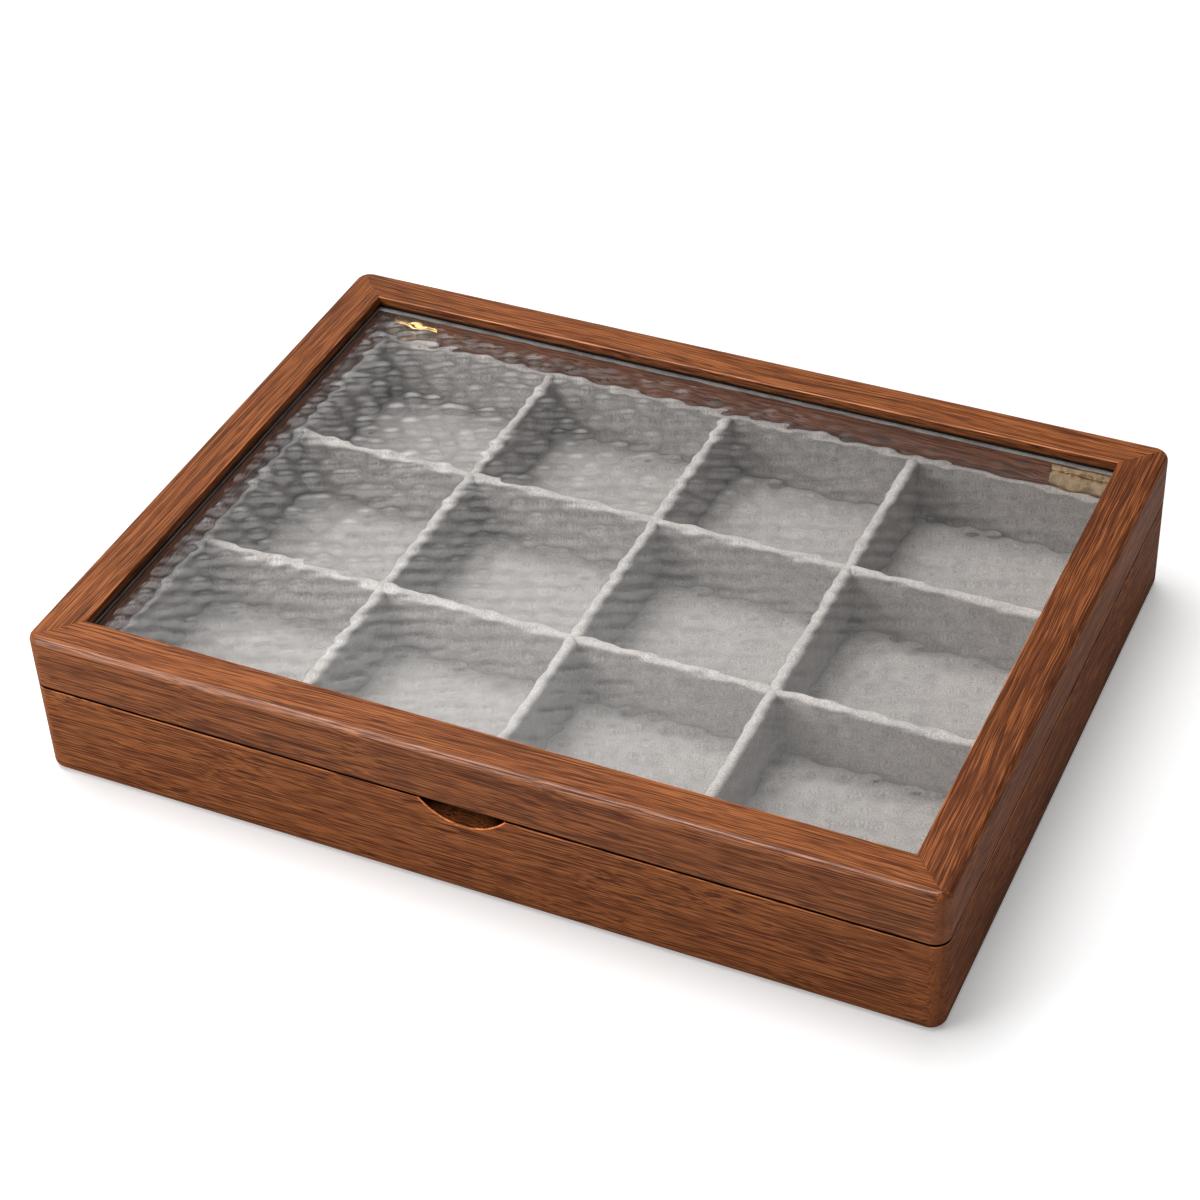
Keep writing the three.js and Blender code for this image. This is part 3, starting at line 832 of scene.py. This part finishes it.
def rippleHeight(x, y):
    # a sum of bumps exp(-r^2 / 2 s^2) of uneven height, r the distance to the jittered points of a
    # brick lattice in dimple lengths
    turn = math.radians(glass["turn"])
    u = (x * math.cos(turn) + y * math.sin(turn)) / glass["dimpleLong"]
    v = (y * math.cos(turn) - x * math.sin(turn)) / glass["dimpleShort"]
    rows = np.floor(v)
    total = np.zeros(x.shape)
    for dv in (-2, -1, 0, 1, 2):
        row = rows + dv
        column = np.floor(u - 0.5 * (row % 2))
        for du in (-2, -1, 0, 1, 2):
            place = np.stack([column + du, row, 0 * row], -1)
            jitterU, jitterV, size = (valueNoise(place, 1.0, glass["seed"] + k) for k in range(3))
            centreU = column + du + 0.5 + 0.5 * (row % 2) + glass["jitter"] * jitterU
            centreV = row + 0.5 + glass["jitter"] * jitterV
            square = (u - centreU) ** 2 + (v - centreV) ** 2
            total += (1 + glass["uneven"] * size) * np.exp(-square / (2 * glass["spread"] ** 2))
    return total


def paneMesh():
    counts = np.round((paneHigh - paneLow)[:2] / glass["cell"]).astype(int) + 1
    lineX = np.linspace(paneLow[0], paneHigh[0], counts[0])
    lineY = np.linspace(paneLow[1], paneHigh[1], counts[1])
    x, y = np.meshgrid(lineX, lineY, indexing="ij")
    height = rippleHeight(x, y)
    height -= height.mean()
    slopes = np.hypot(*np.gradient(height, lineX, lineY))
    # the hammering is deeper towards the left, and a little towards the back
    leftward = (paneHigh[0] - x) / (paneHigh[0] - paneLow[0])
    backward = (y - paneLow[1]) / (paneHigh[1] - paneLow[1])
    depth = 1 + glass["deeper"][0] * leftward ** 2 + glass["deeper"][1] * backward
    height *= depth * glass["slope"] / np.percentile(slopes, 90)
    # it runs flat, a crest's height lower, under the frame and just inside it
    inwardX = halfWidth - wallThickness - np.abs(x)
    inward = np.minimum(inwardX, halfDepth - wallThickness - np.abs(y - middleY))
    fade = np.clip(inward / glass["flatEdge"], 0, 1)
    height = np.minimum(height * fade * fade * (3 - 2 * fade), glass["crest"])
    top = np.stack([x, y, paneHigh[2] - glass["crest"] + height], -1)
    return slabMesh("rippled_pane", top, paneLow[2])


def glassMaterial():
    # a thin film of dust gives the sheen
    material, tree, shader = newMaterial(
        "rippled_glass", Roughness=0.0, IOR=1.5, Transmission_Weight=1.0,
        Sheen_Weight=glass["dust"], Sheen_Roughness=0.5,
    )
    shader.inputs["Base Color"].default_value = (0.985, 0.985, 0.98, 1)
    clear = addNode(tree, "BsdfTransparent", {"Color": (0.965, 0.965, 0.96, 1)})
    path = addNode(tree, "LightPath").outputs
    soft = addNode(tree, "MixShader", {0: path["Is Diffuse Ray"], 1: shader.outputs[0], 2: clear.outputs[0]})
    lit = addNode(tree, "MixShader", {0: path["Is Shadow Ray"], 1: soft.outputs[0], 2: clear.outputs[0]})
    tree.links.new(lit.outputs[0], tree.nodes["Material Output"].inputs["Surface"])
    return material


finished(paneMesh(), "lid", glassMaterial(), ["glass_pane"])

sealant = {
    "wide": (0.5 * mm, 1.9 * mm),
    "thick": 0.16 * mm,
    "uneven": 0.15,
    "spacing": 1.5 * mm,
    "cells": (7 * mm, 3 * mm),
    "seed": 31,
    "lift": 0.01 * mm,
    "colour": (0.42, 0.44, 0.44),
    "streak": (0.30, 0.315, 0.32),
    "alpha": 0.42,
}


def sealantMesh():
    # a low outline (inset, height) carried round the opening, its inset scaled by a slow noise
    outline = np.array([(0, 0), (0, 1), (0.8, 0.9), (0.95, 0.5), (1, 0)])
    side = np.array([[-1, -1], [1, -1], [1, 1], [-1, 1]])
    half = np.array([halfWidth - wallThickness, halfDepth - wallThickness])
    corners, turns = [], []
    for start, end in zip(side, np.roll(side, -1, axis=0)):
        count = round(np.linalg.norm((end - start) * half) / sealant["spacing"])
        part = (np.arange(count) / count)[:, None]
        corners.append((start + (end - start) * part) * half)
        turns.append(start + (end - start) * part)
    corners, turns = np.concatenate(corners), np.concatenate(turns)
    flat = np.concatenate([corners, 0 * corners[:, :1]], -1)
    broad, small = (valueNoise(flat, cell, sealant["seed"] + k) for k, cell in enumerate(sealant["cells"]))
    scale = 1 + sealant["uneven"] * (broad + 0.5 * small)
    inset = outline[:, 0, None] * np.array(sealant["wide"])
    grid = np.zeros((len(corners), len(outline), 3))
    grid[..., :2] = corners[:, None] - turns[:, None] * inset * scale[:, None, None]
    grid[..., 1] += middleY
    grid[..., 2] = paneHigh[2] - glass["crest"] + sealant["lift"] + outline[:, 1] * sealant["thick"]
    count, around = grid.shape[:2]
    index = np.arange(count * around).reshape(count, around)
    following = np.roll(index, -1, axis=0)
    quads = np.stack([index, np.roll(index, -1, axis=1), np.roll(following, -1, axis=1), following], -1)
    return makeMesh("glass_sealant", grid.reshape(-1, 3), [quads.reshape(-1, 4)], 60)


def sealantMaterial():
    material, tree, shader = newMaterial("clear_sealant", Roughness=0.5, Alpha=sealant["alpha"])
    shader.inputs["Specular IOR Level"].default_value = 0.2
    cloud = noise(tree, inMillimetres(tree), 2, 0.5, 0.15)
    colour = ramp(tree, cloud, [(0.35, sealant["streak"]), (0.6, sealant["colour"])])
    tree.links.new(colour, shader.inputs["Base Color"])
    return material


finished(sealantMesh(), "lid", sealantMaterial(), [])
print("glass made")


# Brass, board and panel

brassLook = {
    "dull": (0.58, 0.42, 0.21),
    "bright": (0.90, 0.71, 0.44),
    "roughness": 0.14,
    "rougher": 0.14,
    "dents": 0.15 * mm,
    "eased": 0.15 * mm,
}
boardLook = {"dark": (0.2, 0.19, 0.18), "light": (0.29, 0.28, 0.27)}


def brassMaterial():
    material, tree, shader = newMaterial("brass", Metallic=1.0)
    place = inMillimetres(tree)
    wear = noise(tree, place, 2, 0.5, 0.28)
    colour = ramp(tree, wear, [(0.35, brassLook["dull"]), (0.65, brassLook["bright"])])
    tree.links.new(colour, shader.inputs["Base Color"])
    rougher = math2(tree, "MULTIPLY", wear, brassLook["rougher"])
    rough = math2(tree, "ADD", rougher, brassLook["roughness"])
    tree.links.new(rough, shader.inputs["Roughness"])
    field = noise(tree, place, 2, 0.5, 0.4)
    dents = addNode(tree, "Bump", {"Height": field, "Distance": brassLook["dents"]})
    tree.links.new(dents.outputs[0], shader.inputs["Normal"])
    return material


def boardMaterial():
    material, tree, shader = newMaterial("tray_board", Roughness=0.9)
    fibre = noise(tree, inMillimetres(tree), 4, 0.7, 1.2)
    colour = ramp(tree, fibre, [(0.3, boardLook["dark"]), (0.7, boardLook["light"])])
    tree.links.new(colour, shader.inputs["Base Color"])
    return material


brass = brassMaterial()
for name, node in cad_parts.items():
    if "_hinge_" in name:
        node.data.materials.clear()
        node.data.materials.append(brass)
    if name.endswith("_leaf"):
        eased = node.modifiers.new("eased", "BEVEL")
        eased.width, eased.segments, eased.limit_method = brassLook["eased"], 2, "ANGLE"
for name, material in (
    ("tray_board", boardMaterial()),
    ("base_panel", walnutMaterial("panel_wood", 0, (0, 0, 0.5), (0.4, 0.9, 0.2), 1.0, 0.4)),
):
    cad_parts[name].data.materials.clear()
    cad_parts[name].data.materials.append(material)
print("hardware dressed")


# Camera, light and floor

view = {
    "place": (0.3582, -0.742, 0.7082),
    "azimuth": 26.28,
    "elevation": 39.35,
    "roll": -2.89,
    "lens": 84.64,
}
light = {
    "fill": 0.13,
    "stripes": ((0.36, 0.35), (0.46, 1.0), (0.57, 0.05), (0.68, 1.0), (0.79, 0.05), (0.90, 0.3)),
    "stripeLevel": 2.1,
    "right": 0.25,
    "keyFrom": (-0.26, 0.15, 0.96), "keyLevel": 0.82, "keyAngle": 42,
    "frontFrom": (-0.5, -0.7, 0.55), "frontDistance": 0.85, "frontSize": 0.45, "frontLevel": 0.36,
}


def placeCamera():
    azimuth, elevation, roll = (math.radians(view[k]) for k in ("azimuth", "elevation", "roll"))
    back = np.array([
        math.sin(azimuth) * math.cos(elevation),
        -math.cos(azimuth) * math.cos(elevation),
        math.sin(elevation),
    ])
    level = np.array([math.cos(azimuth), math.sin(azimuth), 0])
    upward = np.cross(back, level)
    right = math.cos(roll) * level + math.sin(roll) * upward
    above = -math.sin(roll) * level + math.cos(roll) * upward
    data = bpy.data.cameras.new("camera")
    data.lens, data.sensor_width = view["lens"], 36
    data.clip_start, data.clip_end = 0.01, 50
    camera = bpy.data.objects.new("camera", data)
    turned = Matrix([list(right), list(above), list(back)]).transposed()
    camera.matrix_world = Matrix.Translation(view["place"]) @ turned.to_4x4()
    bpy.context.scene.collection.objects.link(camera)
    bpy.context.scene.camera = camera


def placeLamp(name, kind):
    # a white surface square to the lamp looks Level bright at the origin
    towards = Vector(light[name + "From"]).normalized()
    data = bpy.data.lights.new(name, kind)
    distance = light.get(name + "Distance", 1)
    if kind == "SUN":
        data.angle, data.energy = math.radians(light[name + "Angle"]), light[name + "Level"] * math.pi
    else:
        data.size, data.energy = light[name + "Size"], light[name + "Level"] * (math.pi * distance) ** 2
    lamp = bpy.data.objects.new(name, data)
    turn = towards.to_track_quat("Z", "Y").to_matrix().to_4x4()
    lamp.matrix_world = Matrix.Translation(towards * distance) @ turn
    bpy.context.scene.collection.objects.link(lamp)


def seenRays(tree):
    # 1 for what the camera sees, also in reflections and through glass
    path = addNode(tree, "LightPath").outputs
    seen = math2(tree, "MAXIMUM", path["Is Camera Ray"], path["Is Glossy Ray"])
    return math2(tree, "MAXIMUM", seen, path["Is Transmission Ray"])


def makeWorld():
    world = bpy.data.worlds.new("studio")
    bpy.context.scene.world = world
    world.use_nodes = True
    tree = world.node_tree
    tree.nodes.clear()
    dim = addNode(tree, "Background", {"Color": (1, 1, 1, 1), "Strength": light["fill"]})
    # reflections see rows of lamps over a white horizon, dimmer towards the right
    towards = split(tree, addNode(tree, "TexCoord").outputs["Generated"])
    lamps = ramp(tree, towards["Z"], light["stripes"])
    side = mapped(tree, towards["X"], (-0.42, -0.2), (1.0, light["right"]), True)
    lamps = product(tree, lamps, light["stripeLevel"], side)
    shown = math2(tree, "MAXIMUM", lamps, addNode(tree, "LightPath").outputs["Is Camera Ray"])
    white = addNode(tree, "Background", {"Color": (1, 1, 1, 1), "Strength": shown})
    both = addNode(tree, "MixShader", {0: seenRays(tree), 1: dim.outputs[0], 2: white.outputs[0]})
    out = addNode(tree, "OutputWorld")
    tree.links.new(both.outputs[0], out.inputs["Surface"])


floorLook = {"size": 6.0, "colour": 0.6, "shown": 0.9, "glow": 0.25}


def makeFloor():
    half = floorLook["size"] / 2
    corners = np.array([[-half, -half, 0], [half, -half, 0], [half, half, 0], [-half, half, 0]])
    corners[:, 2] = frontLow[2] - 0.05 * mm
    mesh = bpy.data.meshes.new("floor")
    mesh.from_pydata(corners.tolist(), [], [(0, 1, 2, 3)])
    floor = bpy.data.objects.new("floor", mesh)
    bpy.context.scene.collection.objects.link(floor)
    material = bpy.data.materials.new("floor")
    material.use_nodes = True
    tree = material.node_tree
    tree.nodes.clear()
    tone = floorLook["colour"]
    plain = addNode(tree, "BsdfDiffuse", {"Color": (tone, tone, tone, 1)})
    bright = floorLook["shown"]
    shaded = addNode(tree, "BsdfDiffuse", {"Color": (bright, bright, bright, 1)})
    glow = addNode(tree, "Emission", {"Color": (1, 1, 1, 1), "Strength": floorLook["glow"]})
    shown = addNode(tree, "AddShader", {0: shaded.outputs[0], 1: glow.outputs[0]})
    both = addNode(tree, "MixShader", {0: seenRays(tree), 1: plain.outputs[0], 2: shown.outputs[0]})
    out = addNode(tree, "OutputMaterial")
    tree.links.new(both.outputs[0], out.inputs["Surface"])
    mesh.materials.append(material)


placeCamera()
for name, kind in (("key", "SUN"), ("front", "AREA")):
    placeLamp(name, kind)
makeWorld()
makeFloor()
bpy.context.scene.view_settings.view_transform = "Standard"
print("camera and light set")
